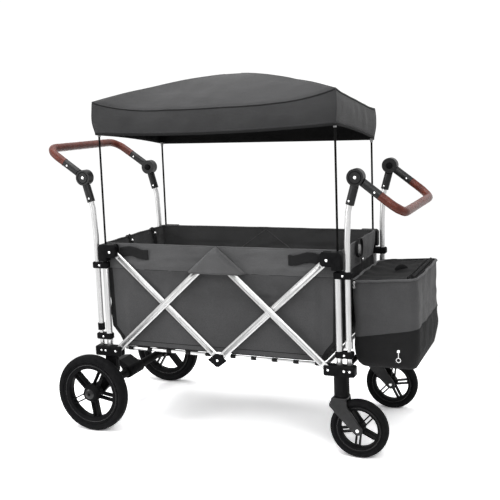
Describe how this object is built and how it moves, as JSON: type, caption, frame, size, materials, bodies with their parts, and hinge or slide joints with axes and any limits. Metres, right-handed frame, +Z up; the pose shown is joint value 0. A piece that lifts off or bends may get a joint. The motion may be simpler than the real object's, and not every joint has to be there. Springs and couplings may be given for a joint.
{
  "type": "folding stroller wagon",
  "caption": "Four-wheel folding stroller wagon with a fabric tub on a scissor frame, tilting push handles, sun canopy on poles and a front storage basket.",
  "frame": {"origin": "on the floor, under the middle of the overall box", "axes": "+X to the front (swivel wheels and basket), +Y to the left side, +Z up"},
  "size_m": [1.4136, 0.668, 1.326],
  "materials": {
    "aluminium": "satin",
    "black_plastic": "matte",
    "tyre": "matte",
    "grip_leather": "matte",
    "fabric": "woven",
    "black_steel": "satin"
  },
  "bodies": {
    "rear_frame": {"rear_axle": "black_steel", "rear_bracket_left": "black_plastic", "rear_bracket_right": "black_plastic", "rear_post_left": "aluminium", "rear_post_right": "aluminium", "tub": "fabric"},
    "rising_rear_bars": {"rising_rear_bar_left": "aluminium", "rising_rear_bar_right": "aluminium"},
    "falling_rear_bars": {"falling_rear_bar_left": "aluminium", "falling_rear_bar_right": "aluminium"},
    "falling_front_bars": {"falling_front_bar_left": "aluminium", "falling_front_bar_right": "aluminium"},
    "rising_front_bars": {"rising_front_bar_left": "aluminium", "rising_front_bar_right": "aluminium"},
    "front_frame": {"basket": "fabric", "front_bracket_left": "black_plastic", "front_bracket_right": "black_plastic", "front_cross_tube": "black_steel", "front_post_left": "aluminium", "front_post_right": "aluminium"},
    "rear_top": {"canopy": "fabric", "rear_canopy_pole_left": "black_steel", "rear_canopy_pole_right": "black_steel", "rear_top_bracket_left": "black_plastic", "rear_top_bracket_right": "black_plastic"},
    "front_top": {"front_canopy_pole_left": "black_steel", "front_canopy_pole_right": "black_steel", "front_top_bracket_left": "black_plastic", "front_top_bracket_right": "black_plastic"},
    "rear_floor": {"rear_floor_frame": "aluminium"},
    "front_floor": {"front_floor_frame": "aluminium"},
    "brake": {"brake_pedal": "black_plastic"},
    "rear_handle_lift": {"rear_handle_tube_left": "aluminium", "rear_handle_tube_right": "aluminium", "rear_hinge_sleeve_left": "black_plastic", "rear_hinge_sleeve_right": "black_plastic"},
    "rear_handle": {"rear_grip": "grip_leather", "rear_handle_arm_left": "black_plastic", "rear_handle_arm_right": "black_plastic"},
    "front_handle_lift": {"front_handle_tube_left": "aluminium", "front_handle_tube_right": "aluminium", "front_hinge_sleeve_left": "black_plastic", "front_hinge_sleeve_right": "black_plastic"},
    "front_handle": {"front_grip": "grip_leather", "front_handle_arm_left": "black_plastic", "front_handle_arm_right": "black_plastic"},
    "rear_button_left": {"rear_button_cap_left": "black_plastic"},
    "front_button_left": {"front_button_cap_left": "black_plastic"},
    "rear_wheel_left": {"rear_wheel_left_rim": "black_plastic", "rear_wheel_left_tyre": "tyre"},
    "caster_left": {"caster_left_fork": "black_plastic"},
    "front_wheel_left": {"front_wheel_left_rim": "black_plastic", "front_wheel_left_tyre": "tyre"},
    "rear_button_right": {"rear_button_cap_right": "black_plastic"},
    "front_button_right": {"front_button_cap_right": "black_plastic"},
    "rear_wheel_right": {"rear_wheel_right_rim": "black_plastic", "rear_wheel_right_tyre": "tyre"},
    "caster_right": {"caster_right_fork": "black_plastic"},
    "front_wheel_right": {"front_wheel_right_rim": "black_plastic", "front_wheel_right_tyre": "tyre"}
  },
  "joints": [
    {"name": "fold", "type": "hinge", "parent": "rear_frame", "child": "rising_rear_bars", "pos_m": [-0.42974, 0, 0.302], "axis": [0, -1, 0], "range_deg": [0, 31], "deforming": ["tub", "canopy"]},
    {"name": "fold_rear_cross", "type": "hinge", "parent": "rising_rear_bars", "child": "falling_rear_bars", "pos_m": [-0.21974, 0, 0.493], "axis": [0, -1, 0], "range_deg": [-62, 0]},
    {"name": "fold_top_centre", "type": "hinge", "parent": "rising_rear_bars", "child": "falling_front_bars", "pos_m": [-0.00975, 0, 0.684], "axis": [0, -1, 0], "range_deg": [-62, 0]},
    {"name": "fold_front_cross", "type": "hinge", "parent": "falling_front_bars", "child": "rising_front_bars", "pos_m": [0.20025, 0, 0.493], "axis": [0, -1, 0], "range_deg": [0, 62]},
    {"name": "fold_front_frame", "type": "hinge", "parent": "falling_front_bars", "child": "front_frame", "pos_m": [0.41025, 0, 0.302], "axis": [0, -1, 0], "range_deg": [0, 31]},
    {"name": "fold_rear_top", "type": "hinge", "parent": "falling_rear_bars", "child": "rear_top", "pos_m": [-0.42974, 0, 0.684], "axis": [0, -1, 0], "range_deg": [0, 31]},
    {"name": "fold_front_top", "type": "hinge", "parent": "rising_front_bars", "child": "front_top", "pos_m": [0.41025, 0, 0.684], "axis": [0, -1, 0], "range_deg": [-31, 0]},
    {"name": "fold_rear_floor", "type": "hinge", "parent": "rear_frame", "child": "rear_floor", "pos_m": [-0.40975, 0, 0.311], "axis": [0, -1, 0], "range_deg": [0, 86.8]},
    {"name": "fold_front_floor", "type": "hinge", "parent": "front_frame", "child": "front_floor", "pos_m": [0.39026, 0, 0.311], "axis": [0, -1, 0], "range_deg": [-86.8, 0]},
    {"name": "rear_handle_height", "type": "slide", "parent": "rear_frame", "child": "rear_handle_lift", "axis": [0, 0, 1], "range_m": [0, 0.12]},
    {"name": "rear_handle_tilt", "type": "hinge", "parent": "rear_handle_lift", "child": "rear_handle", "pos_m": [-0.53144, 0, 0.9613], "axis": [0, 1, 0], "range_deg": [-78.5, 45.5]},
    {"name": "rear_button_left_press", "type": "slide", "parent": "rear_handle", "child": "rear_button_left", "axis": [0, 1, 0], "range_m": [0, 0.004], "stiffness_N_per_m": 600},
    {"name": "rear_button_right_press", "type": "slide", "parent": "rear_handle", "child": "rear_button_right", "axis": [0, -1, 0], "range_m": [0, 0.004], "stiffness_N_per_m": 600},
    {"name": "front_handle_height", "type": "slide", "parent": "front_frame", "child": "front_handle_lift", "axis": [0, 0, 1], "range_m": [0, 0.12]},
    {"name": "front_handle_tilt", "type": "hinge", "parent": "front_handle_lift", "child": "front_handle", "pos_m": [0.51196, 0, 0.9613], "axis": [0, -1, 0], "range_deg": [-6.5, 117.5]},
    {"name": "front_button_left_press", "type": "slide", "parent": "front_handle", "child": "front_button_left", "axis": [0, 1, 0], "range_m": [0, 0.004], "stiffness_N_per_m": 600},
    {"name": "front_button_right_press", "type": "slide", "parent": "front_handle", "child": "front_button_right", "axis": [0, -1, 0], "range_m": [0, 0.004], "stiffness_N_per_m": 600},
    {"name": "brake_press", "type": "hinge", "parent": "rear_frame", "child": "brake", "pos_m": [-0.51724, 0, 0.1465], "axis": [0, -1, 0], "range_deg": [0, 20]},
    {"name": "rear_wheel_left_spin", "type": "hinge", "parent": "rear_frame", "child": "rear_wheel_left", "pos_m": [-0.51724, 0.304, 0.1465], "axis": [0, 1, 0], "continuous": true},
    {"name": "rear_wheel_right_spin", "type": "hinge", "parent": "rear_frame", "child": "rear_wheel_right", "pos_m": [-0.51724, -0.304, 0.1465], "axis": [0, 1, 0], "continuous": true},
    {"name": "caster_left_swivel", "type": "hinge", "parent": "front_frame", "child": "caster_left", "pos_m": [0.44826, 0.25, 0.21], "axis": [0, 0, 1], "continuous": true},
    {"name": "front_wheel_left_spin", "type": "hinge", "parent": "caster_left", "child": "front_wheel_left", "pos_m": [0.50826, 0.25, 0.102], "axis": [0, 1, 0], "continuous": true},
    {"name": "caster_right_swivel", "type": "hinge", "parent": "front_frame", "child": "caster_right", "pos_m": [0.44826, -0.25, 0.21], "axis": [0, 0, 1], "continuous": true},
    {"name": "front_wheel_right_spin", "type": "hinge", "parent": "caster_right", "child": "front_wheel_right", "pos_m": [0.50826, -0.25, 0.102], "axis": [0, 1, 0], "continuous": true}
  ],
  "couplings": [
    {"joint": "fold_rear_cross", "follows": "fold", "ratio": -2},
    {"joint": "fold_top_centre", "follows": "fold", "ratio": -2},
    {"joint": "fold_front_cross", "follows": "fold", "ratio": 2},
    {"joint": "fold_front_frame", "follows": "fold", "ratio": 1},
    {"joint": "fold_rear_top", "follows": "fold", "ratio": 1},
    {"joint": "fold_front_top", "follows": "fold", "ratio": -1},
    {"joint": "fold_rear_floor", "follows": "fold", "ratio": 2.8},
    {"joint": "fold_front_floor", "follows": "fold", "ratio": -2.8}
  ]
}
